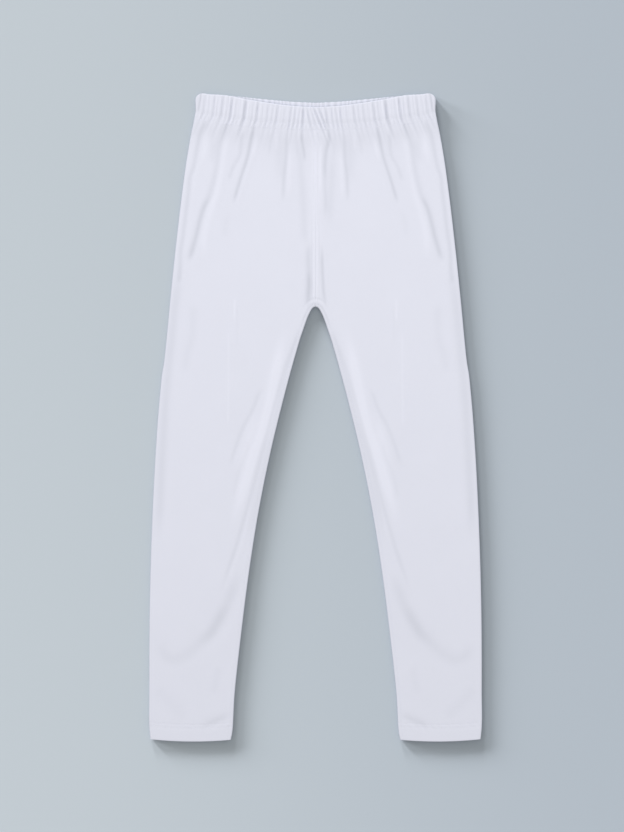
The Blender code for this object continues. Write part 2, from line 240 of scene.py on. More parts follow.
@dataclass
class Graph:
    """A new material, with short ways to add nodes to its tree."""

    name: str
    settings: dict[str, float]

    def __post_init__(self) -> None:
        """Start the material, set its shader and add the coordinates that the patterns share."""
        self.material = bpy.data.materials.new(self.name)
        self.material.use_nodes = True
        self.tree = self.material.node_tree
        self.shader = self.tree.nodes["Principled BSDF"]
        for name, value in self.settings.items():
            self.shader.inputs[name].default_value = value
        self.place = self.tree.nodes.new("ShaderNodeTexCoord")

    def math(self, kind: str, first, second: float | bpy.types.NodeSocket = 0.0):
        """Add a sum of two values.

        Args:
            kind: Blender's name for the operation.
            first: A socket.
            second: A socket or a number.

        Returns:
            The result's socket.
        """
        node = self.tree.nodes.new("ShaderNodeMath")
        node.operation = kind
        self.tree.links.new(first, node.inputs[0])
        if isinstance(second, (int, float)):
            node.inputs[1].default_value = second
        else:
            self.tree.links.new(second, node.inputs[1])
        return node.outputs[0]

    def noise(self, scale: float, detail: float, roughness: float):
        """Add an even noise on the object's own coordinates and return its socket."""
        node = self.tree.nodes.new("ShaderNodeTexNoise")
        node.inputs["Scale"].default_value = scale
        node.inputs["Detail"].default_value = detail
        node.inputs["Roughness"].default_value = roughness
        self.tree.links.new(self.place.outputs["Object"], node.inputs["Vector"])
        return node.outputs["Fac"]

    def mix(self, share, first: Colour, second: Colour):
        """Add a blend of two colours by a share and return its socket."""
        node = self.tree.nodes.new("ShaderNodeMix")
        node.data_type = "RGBA"
        self.tree.links.new(share, node.inputs["Factor"])
        node.inputs["A"].default_value = first
        node.inputs["B"].default_value = second
        return node.outputs["Result"]

    def split(self, place):
        """Split a place into its three parts and return their sockets."""
        node = self.tree.nodes.new("ShaderNodeSeparateXYZ")
        self.tree.links.new(place, node.inputs[0])
        return node.outputs

    def painted(self, colour) -> bpy.types.Material:
        """Lead a colour to the shader and return the finished material."""
        self.tree.links.new(colour, self.shader.inputs["Base Color"])
        return self.material


@dataclass(frozen=True)
class Jersey:
    """White cotton and elastane jersey: fine wales of small V stitches with a soft nap."""

    name: str = "jersey_white"
    colour: Colour = (0.838, 0.846, 0.962, 1.0)
    # Colour of the shade painted in folds, gathers and seams
    painted_shade_colour: Colour = (0.48, 0.500, 0.576, 1.0)
    # Base share of the painted shade, so that a painted highlight can lighten the cloth
    level: float = 0.25
    roughness: float = 0.88
    sheen: float = 0.12
    specular: float = 0.25
    wale: float = 0.85
    course: float = 0.65
    slant: float = 1.1
    loop_share: float = 0.35
    nap_share: float = 0.8
    relief: float = 0.10
    relief_strength: float = 0.45
    mottle: float = 0.10

    def material(self) -> bpy.types.Material:
        """Build the material.

        Returns:
            The jersey, whose knit follows the piece's own UV map in millimetres.
        """
        graph = Graph(self.name, {"Roughness": self.roughness, "Sheen Weight": self.sheen,
                                  "Specular IOR Level": self.specular})
        tree = graph.tree
        uv = tree.nodes.new("ShaderNodeUVMap")
        uv.uv_map = "cloth"
        parts = graph.split(uv.outputs["UV"])
        wale = graph.math("MULTIPLY", parts[0], 1000.0 / self.wale)
        edge = graph.math("PINGPONG", wale, 0.5)
        lean = graph.math("MULTIPLY", edge, self.slant)
        course = graph.math("MULTIPLY", parts[1], 1000.0 / self.course)
        turn = graph.math("MULTIPLY", graph.math("ADD", course, lean), 2 * math.pi)
        loop = graph.math("MULTIPLY", graph.math("SINE", turn), self.loop_share)
        rib = graph.math("SINE", graph.math("MULTIPLY", edge, 2 * math.pi))
        knit = graph.math("ADD", loop, rib)
        nap = graph.noise(700.0, 3.0, 0.6)
        bump = tree.nodes.new("ShaderNodeBump")
        bump.inputs["Strength"].default_value = self.relief_strength
        bump.inputs["Distance"].default_value = self.relief * MM
        height = graph.math("ADD", knit, graph.math("MULTIPLY", nap, self.nap_share))
        tree.links.new(height, bump.inputs["Height"])
        tree.links.new(bump.outputs["Normal"], graph.shader.inputs["Normal"])
        # The attribute paints shade in the folds, gathers and seams, and highlights beside them
        painted_shading = tree.nodes.new("ShaderNodeAttribute")
        painted_shading.attribute_name = "painted_shading"
        cloud = graph.math("SUBTRACT", graph.noise(28.0, 2.0, 0.5), 0.5)
        cloud = graph.math("ADD", graph.math("MULTIPLY", cloud, self.mottle), self.level)
        fleck = graph.math("MULTIPLY", graph.math("SUBTRACT", nap, 0.5), self.mottle)
        # Painted shade from the attribute, plus the cloth's random mottle
        shade = graph.math("ADD", painted_shading.outputs["Fac"], graph.math("ADD", cloud, fleck))
        share = graph.math("MULTIPLY", shade, 0.5)
        return graph.painted(graph.mix(share, self.colour, self.painted_shade_colour))


@dataclass(frozen=True)
class Thread:
    """White polyester sewing thread, a little glossier than the jersey."""

    name: str = "thread_white"
    colour: Colour = (0.86, 0.87, 0.94, 1.0)
    shadow: Colour = (0.76, 0.77, 0.86, 1.0)
    roughness: float = 0.55
    sheen: float = 0.1

    def material(self) -> bpy.types.Material:
        """Build the thread, with the fine change of tone of its twist."""
        graph = Graph(self.name, {"Roughness": self.roughness, "Sheen Weight": self.sheen})
        return graph.painted(graph.mix(graph.noise(3000.0, 1.0, 0.5), self.shadow, self.colour))


@dataclass(frozen=True)
class Paper:
    """Plain pale blue-grey studio paper, a little lighter towards its left."""

    name: str = "paper_blue_grey"
    # Painted light on the left and painted shade on the right, for the light's falloff across the paper
    light: Colour = (0.499, 0.547, 0.597, 1.0)
    dark: Colour = (0.411, 0.459, 0.522, 1.0)
    roughness: float = 0.95
    specular: float = 0.1
    reach: float = 0.42

    def material(self) -> bpy.types.Material:
        """Build the material.

        Returns:
            The paper, with light painted on its left and shade painted on its right.
        """
        graph = Graph(self.name, {"Roughness": self.roughness,
                                  "Specular IOR Level": self.specular})
        ramp = graph.tree.nodes.new("ShaderNodeMapRange")
        ramp.interpolation_type = "SMOOTHSTEP"
        ramp.inputs["From Min"].default_value = -self.reach
        ramp.inputs["From Max"].default_value = self.reach
        sideways = graph.split(graph.place.outputs["Object"])[0]
        graph.tree.links.new(sideways, ramp.inputs["Value"])
        return graph.painted(graph.mix(ramp.outputs["Result"], self.light, self.dark))


@dataclass(frozen=True)
class Fold:
    """One fold of the front: how deep and wide it is, and the path it takes.

    A trough sinks on both sides of the garment. A drag fold sinks on the wearer's right and
    stands up beside its path on the wearer's left, as it does when both legs are pulled one way.
    A fold is on both sides unless `only` names one.
    """

    depth: float
    half: float
    path: Table
    drag: bool = False
    fade: float = 0.15
    # How strongly shade is painted along the fold
    tone: float = 0.7
    share: float = 0.6
    only: Side | None = None

    def height(self, points: Array, side: Side) -> tuple[Array, Array]:
        """Work out the fold's form.

        Args:
            points: Points as across and down.
            side: The wearer's side.

        Returns:
            The height at each point, and the shade painted along the fold there.
        """
        away, place = nearest(points, path_through(self.path, 8))
        ends = eased(np.minimum(place, 1 - place) / self.fade)
        q = away / self.half
        lines = TROUGH
        if self.drag:
            lines = SUNK_DRAG if side is Side.RIGHT else RAISED_DRAG
        form = lined(q, lines)[0]
        return self.share * self.depth * ends * form, self.tone * self.depth * ends * bell(q, 0.9)


def front_folds() -> list[Fold]:
    """List the folds of the front: depth, half width and path, and what differs from usual."""
    return [
        # Hip, from the outer side inwards
        Fold(0.52, 2.8, [(116, 27), (121, 37), (125.7, 48), (131.1, 77), (135.6, 91), (137.5, 109.5),
            (140.2, 131), (142.9, 153), (145.6, 170), (146.4, 190), (148.3, 208)], drag=True,
            fade=0.05),
        Fold(0.42, 5.5, [(145.5, 180), (148.5, 205), (152, 232), (157, 280), (161.5, 326), (164.5, 374),
            (167, 423), (168.5, 456), (170, 490)], drag=True),
        Fold(-0.28, 3.4, [(114, 34), (117, 46), (119.5, 62), (123, 80)], fade=0.4),
        Fold(0.46, 3.8, [(94, 28), (99, 44), (103.2, 55.5), (107.5, 85), (114, 109.5), (120.5, 123.6),
            (124.8, 137.6), (129.2, 156), (134.6, 174.4), (139, 184)], drag=True, fade=0.07),
        Fold(0.42, 2.4, [(114, 109.5), (120.5, 123.6), (124.8, 137.6), (129.2, 156), (134.6, 174.4),
            (138.4, 181)]),
        Fold(0.25, 4.0, [(107, 46), (110, 62), (113, 80)], fade=0.4),
        Fold(-0.24, 4.4, [(92, 36), (97.5, 55), (100.5, 68), (106.8, 105), (112.2, 124), (117.6, 145),
            (120.5, 164), (119.4, 182)]),
        Fold(0.85, 2.1, [(64.5, 33), (67, 42), (69.9, 53), (73.5, 69.5), (78, 83.6), (81.6, 94.4),
            (86.1, 109.5), (89.5, 121)], drag=True),
        Fold(0.40, 2.4, [(77, 40), (79.8, 48), (81.6, 66), (89.2, 80.5), (94.6, 97)], drag=True),
        Fold(-0.32, 2.2, [(62, 42), (65, 58), (69, 76)], fade=0.4),
        Fold(0.15, 4.0, [(93, 125), (97, 142), (98, 160)], fade=0.4),
        Fold(0.20, 2.4, [(47.6, 40), (48.7, 51), (50.3, 70)], drag=True, fade=0.3),
        Fold(-0.30, 2.0, [(42, 40), (42, 52), (42.5, 64)], fade=0.4),
        Fold(0.28, 6.5, [(39, 42), (38, 62), (37, 88), (37, 104)], fade=0.4),
        # Hip, near the middle
        Fold(0.50, 2.2, [(29.5, 40), (31.1, 55.5), (32.1, 73), (34, 91), (34.8, 109.5), (34.8, 121)],
            drag=True, fade=0.2),
        Fold(-0.22, 2.6, [(26.5, 58), (28, 82), (28.5, 100), (29.5, 117)], fade=0.3),
        Fold(0.20, 2.0, [(20, 44), (20, 60), (19.5, 75)], fade=0.4),
        # Beside the centre seam
        Fold(0.75, 1.8, [(15.6, 41), (14.8, 48), (13.6, 56), (12, 66), (11, 76)], drag=True, fade=0.25,
            only=Side.RIGHT),
        Fold(0.32, 4.4, [(17, 50), (16, 70), (15, 90), (13, 120), (12, 150), (9, 168)],
            only=Side.RIGHT),
        Fold(0.80, 2.4, [(15.4, 38), (14.6, 50), (12.4, 60), (10.9, 69), (10.3, 82), (10.4, 98)],
            fade=0.3, only=Side.LEFT),
        Fold(0.42, 2.4, [(10.3, 78), (10.4, 98), (11, 120), (10.6, 138)], fade=0.3, only=Side.LEFT),
        Fold(-0.32, 1.4, [(6.2, 50), (5.5, 70), (5.5, 100), (5.2, 114)], fade=0.3, only=Side.LEFT),
        Fold(0.30, 5.0, [(18, 62), (18, 90), (16, 120), (14, 150)], fade=0.3, only=Side.LEFT),
        # Above the crotch
        Fold(0.62, 3.4, [(6.6, 158), (7.4, 177), (7.1, 191), (6.8, 207), (7.5, 219), (9, 234)],
            fade=0.25, only=Side.RIGHT),
        Fold(0.52, 3.2, [(7.2, 190), (6.8, 206), (7.2, 217), (8.8, 235)], fade=0.3, only=Side.RIGHT),
        Fold(0.85, 1.9, [(6.6, 160), (7.2, 177), (7.7, 193), (8.3, 207), (9.4, 219), (12, 238)],
            fade=0.3, only=Side.LEFT),
        # Along the inseam and at the knee
        Fold(0.75, 2.6, [(15.5, 243), (21, 262), (27, 280), (33.5, 299), (42.6, 331), (51.6, 363.5),
            (61.5, 400), (70.2, 435), (77.4, 461), (86.2, 491), (95, 517), (101, 534), (106, 546)],
            drag=True, fade=0.15, tone=0.34, share=0.4),
        Fold(-0.50, 6.0, [(30, 245), (37, 272), (42.5, 299), (49, 331), (57, 363.5), (65, 385),
            (74, 415), (83, 445), (92, 478)], fade=0.25),
        Fold(-0.25, 5.0, [(60, 338), (69, 362), (77, 388), (85, 415)], fade=0.4),
        Fold(0.32, 2.6, [(57, 316), (62, 326), (68, 342), (76.8, 358), (83.3, 374), (89, 391),
            (93, 405)], drag=True, share=0.5),
        Fold(0.15, 2.4, [(71.4, 374), (75.7, 391), (82.2, 407), (86.5, 423), (89, 440)], drag=True),
        # Calf and hem
        Fold(0.38, 6.6, [(80, 512), (82.7, 520), (90.2, 538.6), (96.7, 555), (104.3, 569), (113, 583),
            (121.6, 592), (131, 600)], drag=True, fade=0.3),
        Fold(0.28, 7.2, [(94, 548), (104.3, 569), (113, 583), (121.6, 590.5), (130, 599), (141, 607.8),
            (152, 612), (162.7, 606.7), (168, 588)], fade=0.2),
        Fold(0.42, 4.0, [(88.5, 666), (98, 673.5), (105.4, 677), (112, 680), (119.4, 683.5),
            (127, 688)], fade=0.4),
        Fold(0.14, 4.4, [(104, 618), (107, 632), (110, 650)], drag=True),
        Fold(0.14, 7.0, [(171, 640), (165, 650), (155, 661), (147, 668), (138, 675)], drag=True),
        # Thigh, below the hip
        Fold(-0.30, 1.3, [(87.2, 220), (87.4, 247)], fade=0.2),
        Fold(0.12, 1.6, [(84.4, 226), (84.6, 275)], fade=0.2),
        Fold(-0.16, 1.4, [(93.6, 252), (93.9, 300), (94.4, 364)], fade=0.12),
        Fold(0.18, 5.0, [(132, 225), (133, 262), (138, 280), (142, 305)], drag=True),
    ]


@dataclass
class Pattern:
    """The garment's outline, heights and seams, all in millimetres."""

    length: float = 700.0
    waist_half: float = 129.6
    seam_half: float = 131.2
    rise: float = 230.6
    band_side_depth: float = 28.0
    band_centre_depth: float = 40.0
    band_height: float = 5.6
    fold_height: float = 2.2
    panel_height: float = 4.6
    front_roll: float = 4.0
    squareness: float = 4.0
    stitch_up: float = 7.4
    seam_gap: float = 0.01
    hem_bow: float = 1.95
    hem_tilt: float = 0.6
    top_edge: Table = field(default_factory=lambda: [
        (0, 10.0), (26.9, 8.7), (48.6, 6.8), (70.2, 4.7), (91.9, 2.5), (109, 1.3), (116, 1.0),
        (119.5, 0.6), (122, 0.15), (124, 0.0), (126, 0.5), (127.5, 1.2), (128.6, 2.4),
        (129.6, 4.4),
    ])
    outer_edge: Table = field(default_factory=lambda: [
        (0, 128.6), (5, 129.6), (20, 129.8), (28, 131.2), (45, 134.7), (71, 139.2),
        (106, 144.0), (158, 150.2), (227, 157.4), (272, 161.7), (291, 163.8), (303, 165.8),
        (323, 167.9), (385, 172.6), (450, 176.0), (547, 179.1), (645, 179.7), (690, 179.3),
        (700, 178.2),
    ])
    inseam: Table = field(default_factory=lambda: [
        (0, 230.6), (3.4, 232.2), (6.6, 237.6), (9.4, 244.1), (13.5, 256), (18.6, 271.6),
        (32.0, 320), (48.0, 385), (61.2, 450), (71.5, 515), (79.8, 580), (87.0, 645),
        (89.3, 685), (91.4, 698.2),
    ])

    def __post_init__(self) -> None:
        """Work out the dense outlines and the hem's width."""
        across, down = self.inseam[1]
        self.hem_width = self.outer_edge[-1][1] - self.inseam[-1][0]
        pieces = 16
        self.inseam_line = path_through([(-across, down), *self.inseam], pieces)[pieces:]
        depths = np.linspace(0, self.length, 281)
        self.outer_line = np.stack([smooth_curve(self.outer_edge, depths), depths], axis=1)

    def band_bottom(self, across: Array) -> Array:
        """Depth of the seam between the waistband and the legs."""
        drop = self.band_centre_depth - self.band_side_depth
        return self.band_centre_depth - drop * (across / self.seam_half) ** 2

    def band_top(self, across: Array, front: Array) -> Array:
        """Depth of the waistband's upper edge, which is lower in front."""
        dip = 4.9 * np.clip(1 - (across / 98.0) ** 2, 0, 1)
        return smooth_curve(self.top_edge, np.abs(across)) + np.where(front, dip, 0.0)

    def hem_drop(self, share: Array) -> Array:
        """How far the hem drops below its inner corner, by the share of its width."""
        return self.hem_bow * 4 * share * (1 - share) - self.hem_tilt * share**2

    def hem_edge(self, across: Array) -> Array:
        """Depth of the hem's edge."""
        first, end = self.inseam[-1]
        return end + self.hem_drop((across - first) / self.hem_width)

    def above_hem(self, points: Array) -> Array:
        """Distance of points above the hem's edge."""
        return self.hem_edge(points[:, 0]) - points[:, 1]

    def seam_distance(self, points: Array) -> Array:
        """Distance of points from the crotch arch and inseam."""
        return np.abs(nearest(points, self.inseam_line)[0])

    def side_distance(self, points: Array) -> Array:
        """Distance of points from the inseam or the outer fold, whichever is nearer."""
        outer = np.abs(nearest(points, self.outer_line)[0])
        return np.minimum(self.seam_distance(points), outer)

    def front_skin(self, height: Array, away: Array, fold_height: float) -> Array:
        """Round the front's height down to the folded side."""
        square = rolled(away, self.front_roll, self.squareness)
        return fold_height + (height - fold_height) * square


def back_skin(height: Array, away: Array, fold_height: float) -> Array:
    """Round the underside's height up to the folded side."""
    roll = rolled(away, fold_height)
    return fold_height * (1 - roll) + roll * height


@dataclass
class Relief:
    """The gathers of the elastic and the folds of the front."""

    pattern: Pattern
    crest: float = 0.4
    narrow: float = 0.68
    lean: float = 0.12
    lean_from: float = 22.4
    spread: float = 0.0028
    gather_fade: float = 11.5
    left_below: float = 0.65
    swell_fade: float = 14.0
    middle: list[tuple[float, float, float, float]] = field(default_factory=lambda: [
        (-13.4, 1.00, 1.3, -0.05), (-8.2, 0.75, 1.1, 0.22), (-3.6, 0.50, 1.0, 0.26),
        (0.4, 1.00, 1.1, 0.40), (5.6, 0.95, 1.1, 0.38), (11.4, 0.80, 1.1, 0.16),
    ])
    gathers: list[tuple[float, float, float]] = field(default_factory=lambda: [
        (17.5, 0.55, 1.4),
        (22.2, 0.60, 1.5), (27.0, 0.75, 1.5), (33.5, 0.30, 1.4), (41.6, 0.70, 1.8),
        (46.5, 0.40, 1.4), (52.0, 0.50, 1.6), (57.5, 0.20, 1.2), (63.3, 0.85, 1.9),
        (68.2, 0.40, 1.4), (76.8, 1.25, 2.2), (86.6, 0.30, 1.4), (91.8, 1.05, 1.8),
        (96.0, 0.40, 1.3),
        (101.7, 0.75, 1.9), (107.0, 0.25, 1.4), (110.8, 0.65, 1.6), (116.5, 0.25, 1.5),
        (121.2, 0.50, 2.0),
    ])
    folds: list[Fold] = field(default_factory=front_folds)

    def gathered(self, across: Array, down: Array) -> Array:
        """Height of the gathers on the front, by signed places across and by depth."""
        pat = self.pattern
        below = np.maximum(0, down - pat.band_bottom(across) + pat.stitch_up)
        height = np.full(np.shape(across), self.crest)
        for place, depth, half in self.gathers:
            centre = place + self.lean * (down - self.lean_from) + self.spread * place * below
            q = (np.abs(across) - centre) / (self.narrow * half)
            height = height - depth * lined(q, GATHER)[0]
        for place, depth, half, lean in self.middle:
            q = (across - place - lean * (down - self.lean_from)) / half
            height = height - depth * lined(q, GATHER)[0]
        return height

    def folded(self, points: Array, side: Side) -> tuple[Array, Array]:
        """Add the folds up.

        Args:
            points: Points as across and down.
            side: The wearer's side.

        Returns:
            The height of all the folds, and the shade painted along them.
        """
        height = np.zeros(len(points))
        tone = np.zeros(len(points))
        for fold in self.folds:
            if fold.only not in (None, side):
                continue
            form, darker = fold.height(points, side)
            height += form
            tone += darker
        return height, tone


def mesh_object(name: str, points: Array, faces: list, uvs: Array,
                painted_shading: Array) -> bpy.types.Object:
    """Make one cloth piece.

    Args:
        name: The piece's name.
        points: Its points in millimetres.
        faces: Its faces.
        uvs: A place on the cloth for each point, in metres.
        painted_shading: The shade painted on each point, negative where a highlight is painted.

    Returns:
        The new object, smooth and at the origin.
    """
    mesh = bpy.data.meshes.new(name)
    mesh.from_pydata((points * MM).tolist(), [], faces)
    layer = mesh.uv_layers.new(name="cloth")
    corners = np.empty(len(mesh.loops), dtype=np.int32)
    mesh.loops.foreach_get("vertex_index", corners)
    layer.data.foreach_set("uv", uvs[corners].astype(np.float32).ravel())
    # This attribute holds the cloth's painted shade and painted highlights
    tone = mesh.attributes.new("painted_shading", "FLOAT", "POINT")
    tone.data.foreach_set("value", painted_shading.astype(np.float32))
    mesh.shade_smooth()
    mesh.set_sharp_from_angle(angle=math.radians(55))
    piece = bpy.data.objects.new(name, mesh)
    bpy.context.scene.collection.objects.link(piece)
    return piece


def grid_faces(rows: int, columns: int, start: int, outward: bool) -> list:
    """Faces of a grid of points.

    Args:
        rows: Number of rows of points.
        columns: Number of points in a row.
        start: Index of the first point.
        outward: Whether the faces look the way of the outer skin.

    Returns:
        The faces, four points each.
    """
    faces = []
    for i in range(rows - 1):
        for j in range(columns - 1):
            a = start + i * columns + j
            quad = (a, a + columns, a + columns + 1, a + 1)
            faces.append(quad if outward else quad[::-1])
    return faces


def rim_faces(rows: int, columns: int) -> list:
    """Faces that close the edge between an outer and an inner grid of points."""
    count = rows * columns
    edge = list(range(columns))
    edge += [i * columns + columns - 1 for i in range(1, rows)]
    edge += [(rows - 1) * columns + j for j in range(columns - 2, -1, -1)]
    edge += [i * columns for i in range(rows - 2, 0, -1)]
    return [(a, b, count + b, count + a) for a, b in zip(edge, edge[1:] + edge[:1])]


@dataclass
class Leg:
    """One leg of the leggings: a single panel wrapped round and closed by the inseam."""

    pattern: Pattern
    relief: Relief
    side: Side
    ply: float = 0.9
    row_step: float = 2.7
    front_columns: int = 100
    back_columns: int = 26
    strip_half: float = 4.2
    strip_rise: float = 0.35
    unevenness: float = 0.10
    air: float = 1.1
    # The last value of each seam line is its painted shade, negative for a painted highlight
    centre_lines: list[Line] = field(default_factory=lambda: [
        Line(0.0, 0.7, -0.14, 0.36), Line(3.8, 0.7, -0.12, 0.26),
        Line(CENTRE_STITCHES, 0.8, 0.0, -0.22),
    ])
    arch_lines: list[Line] = field(default_factory=lambda: [
        Line(6.8, 0.8, 0.12, -0.26), Line(9.4, 0.9, -0.16, 0.50),
    ])
    hem_lines: list[Line] = field(default_factory=lambda: [
        Line(8.0, 7.0, 0.08), Line(HEM_STITCHES[0], 0.7, -0.13), Line(HEM_STITCHES[1], 0.7, -0.10),
    ])
    back_hem_lines: list[Line] = field(default_factory=lambda: [
        Line(above, 0.8, 0.25) for above in HEM_STITCHES
    ])

    @property
    def name(self) -> str:
        """Name of the leg's CAD node."""
        return "leg_left" if self.side is Side.LEFT else "leg_right"

    def row_starts(self) -> list[tuple[float, float, float, bool]]:
        """List the leg's rings.

        Returns:
            For each ring its first point, its turn at the crotch, and whether the inseam closes it.
        """
        pat = self.pattern
        starts = []
        top = pat.band_centre_depth + pat.seam_gap / 2
        count = int((pat.rise - top) / self.row_step)
        share = np.linspace(0, 1, count + 1)[:-1]
        for down in top + (pat.rise - top) * (1 - (1 - share) ** 1.15):
            turn = float(eased(1 - (pat.rise - down) / 40.0))
            starts.append((pat.seam_gap / 2, float(down), turn, False))
        along = lengths_along(pat.inseam_line)
        near = [0.0, 0.7, 1.6, 2.8, 4.2, 6.0, 8.0]
        far = np.linspace(10.0, along[-1] - 24.0, int((along[-1] - 34.0) / self.row_step))
        hem = along[-1] - np.array([22.5, 21, 20, 19.2, 18.6, 18, 17.4, 16.8, 16, 15.2, 14.6, 14,
                                    13, 11.5, 10, 8, 6, 4.5, 3.2, 2.2, 1.4, 0.8, 0.35, 0.0])
        for place in [*near, *far, *hem]:
            across = max(np.interp(place, along, pat.inseam_line[:, 0]), pat.seam_gap / 2)
            down = np.interp(place, along, pat.inseam_line[:, 1])
            starts.append((float(across), float(down), math.exp(-((place / 22.0) ** 2)), True))
        return starts

    def row_down(self, across: Array, start: tuple) -> Array:
        """Depth of a ring's points: level, but bent towards the waist, the crotch and the hem."""
        pat = self.pattern
        first, down, turn, _ = start
        rise = 12.0 * turn * (1 - np.exp(-(across - first) / 12.0))
        waist = np.clip(1 - (down - pat.band_centre_depth) / 90.0, 0, 1)
        lift = (pat.band_centre_depth - pat.band_bottom(across)) * waist
        near_hem = eased(1 - (pat.inseam[-1][1] - down) / 60.0)
        return down - rise - lift + near_hem * pat.hem_drop((across - first) / pat.hem_width)

    def front(self, points: Array, away: Array) -> tuple[Array, Array]:
        """Work out how high the front stands.

        Args:
            points: Points as across and down.
            away: Their distances from the folded sides.

        Returns:
            The outer skin's height, and the shade painted on each point, negative where a highlight is
            painted.
        """
        pat, rel = self.pattern, self.relief
        across, down = points.T
        below = down - pat.band_bottom(across)
        edge = pat.seam_distance(points)
        above = pat.above_hem(points)
        swell = (pat.band_height - pat.panel_height) * bell(below, rel.swell_fade)
        fading = rel.left_below * bell(below, rel.gather_fade)
        gathered = rel.gathered(across * self.side.value, down)
        # inside is the shade painted along the folds
        folded, inside = rel.folded(points, self.side)

        # The seams stand up, and their stitches, the arch and the hem are drawn in
        centre_height, centre_tone = lined(across, self.centre_lines)
        arch_height, arch_tone = lined(edge, self.arch_lines)
        strip = bell(across, self.strip_half) * np.clip((pat.rise + 6 - down) / 12, 0, 1)
        lower = eased((down - 110) / 60)
        apex = bell(across, 9.0) * np.clip((pat.rise - down + 8) / 4, 0, 1)
        sewn = bell(edge - INSEAM_STITCHES, 1.1)
        pucker = 0.07 * np.sin(across * 0.75 + above * 0.35) * bell(above - 16.2, 3.5)
        height = pat.panel_height + swell + fading * gathered + folded
        height += self.unevenness * waves(points, 46.0, 3 + self.side.value)
        height += self.strip_rise * strip + centre_height * lower
        height += arch_height * apex - 0.12 * sewn + lined(above, self.hem_lines)[0] + pucker
        height = np.maximum(height, 2 * self.ply + self.air)

        # Painted shade at the seams, in the gathers and below the waistband, painted highlights by them
        centre = centre_tone * lower - 0.16 * bell(across, 5.0)
        centre = centre * np.clip((pat.rise - 5 - down) / 8, 0, 1)
        rim = (0.06 + 0.40 * between(down, 212, 8, 238, 20)) * sewn + arch_tone * apex
        widening = 4.0 * eased((down - 330) / 90)
        inseam = 0.19 * between(edge, 0.8, 1.2, 4.0 + widening, 3.0)
        inseam = inseam * between(down, 250, 20, 440, 60)
        painted_gather_shading = 0.72 * np.clip(rel.crest - gathered, -0.5, 1.2) * fading
        shade = 0.15 * bell(below, 26.0)
        painted_shading = np.clip(shade + inside + painted_gather_shading + inseam + centre + rim, *PAINTED_SHADING_RANGE)
        return pat.front_skin(height, away, pat.fold_height), painted_shading

    def back(self, points: Array, away: Array) -> Array:
        """Height of the underside: flat on the surface, with shallow gathers and creases."""
        pat = self.pattern
        across, down = points.T
        below = down - pat.band_bottom(across)
        gathered = 0.35 * (0.5 - 0.5 * np.cos(2 * math.pi * across / 8.0)) * bell(below, 13.0)
        crease = np.clip(waves(points * (1, 0.22), 24.0, 11) - 0.35, 0, 1) * 0.35
        sewn = lined(pat.above_hem(points), self.back_hem_lines)[0]
        return back_skin(gathered + crease + sewn, away, pat.fold_height)

    def ring(self, start: tuple) -> tuple[Array, Array]:
        """Lay out one ring from the seam's front edge over the outer fold to its back edge.

        Args:
            start: The ring's row from row_starts.

        Returns:
            Its points as across and down, and whether each is on the front.
        """
        pat = self.pattern
        first, down, _, _ = start
        outer = float(smooth_curve(pat.outer_edge, down))
        for _ in range(4):
            outer = float(smooth_curve(pat.outer_edge, self.row_down(outer, start)))
        width = outer - first
        front_roll = turned_in(pat.front_roll, FRONT_TURNS)
        inner = np.array([0, 0.15, 0.4, 0.8, 1.2, 1.6, 2.0, 2.5, 3.0, 3.5, 4.0, 4.5, 5.0, 5.6,
                          6.3, 7.1, 8.0, 8.8, 9.6, 10.4])
        back_roll = turned_in(pat.fold_height, (0, *BACK_TURNS))
        panel = np.linspace(inner[-1] + 1.2, width - pat.front_roll, self.front_columns)
        back = np.linspace(pat.fold_height, width - pat.fold_height, self.back_columns)
        front_across = np.concatenate([inner, panel, width - front_roll[::-1]])
        back_across = np.concatenate([width - back_roll[1:], back[::-1], back_roll[::-1]])
        across = first + np.concatenate([front_across, back_across])
        points = np.stack([across, self.row_down(across, start)], axis=1)
        return points, np.arange(len(across)) < len(front_across)

    def skins(self) -> tuple[Array, Array, Array, Array]:
        """Work out the cloth.

        Returns:
            The outer and inner skins, rows from waist to hem, with the points' places on the
            cloth and the shade painted on each.
        """
        pat = self.pattern
        starts = self.row_starts()
        rings = [self.ring(start) for start in starts]
        flat = np.array([points for points, _ in rings])
        is_front = rings[0][1]
        shape = flat.shape[:2]
        points = flat.reshape(-1, 2)
        away = pat.side_distance(points)
        top, painted_shading = self.front(points, away)
        under = self.back(points, away).reshape(shape)
        height = np.where(is_front, top.reshape(shape), under)
        height[:, is_front.sum() - 1] = pat.fold_height
        first_closed = [closed for *_, closed in starts].index(True)
        height[first_closed:, 0] = pat.fold_height + 0.06
        height[first_closed:, -1] = pat.fold_height - 0.06
        outer = np.dstack([flat[..., 0], pat.length / 2 - flat[..., 1], height])
        normals = self.normals(outer, first_closed)
        inner = outer - self.ply * normals
        turned = pat.above_hem(points).reshape(shape)
        rounding = 0.32 * self.ply * (1 - rolled(turned, 0.9))[..., None]
        outer = outer - rounding * normals
        inner = inner + rounding * normals
        uv = np.dstack([flat[..., 0], -flat[..., 1]])
        return outer, inner, uv, np.where(is_front, painted_shading.reshape(shape), 0.0)

    def normals(self, grid: Array, first_closed: int) -> Array:
        """Outward directions of the outer skin.

        Args:
            grid: The outer skin.
            first_closed: Number of the first ring that the inseam closes.

        Returns:
            A direction for each point, square to the cut edges.
        """
        normals = np.cross(np.gradient(grid, axis=0), np.gradient(grid, axis=1))
        seam = np.gradient(grid[:, 0], axis=0)
        outwards = np.column_stack([seam[:, 1], -seam[:, 0], np.zeros(len(seam))])
        for edge in (0, -1):
            normals[:first_closed, edge, 0] = 0
            normals[first_closed:, edge] = outwards[first_closed:]
            normals[first_closed, edge] = (0, -1, 0)
            normals[edge, :, 1] = 0
        return normals / np.linalg.norm(normals, axis=2, keepdims=True)

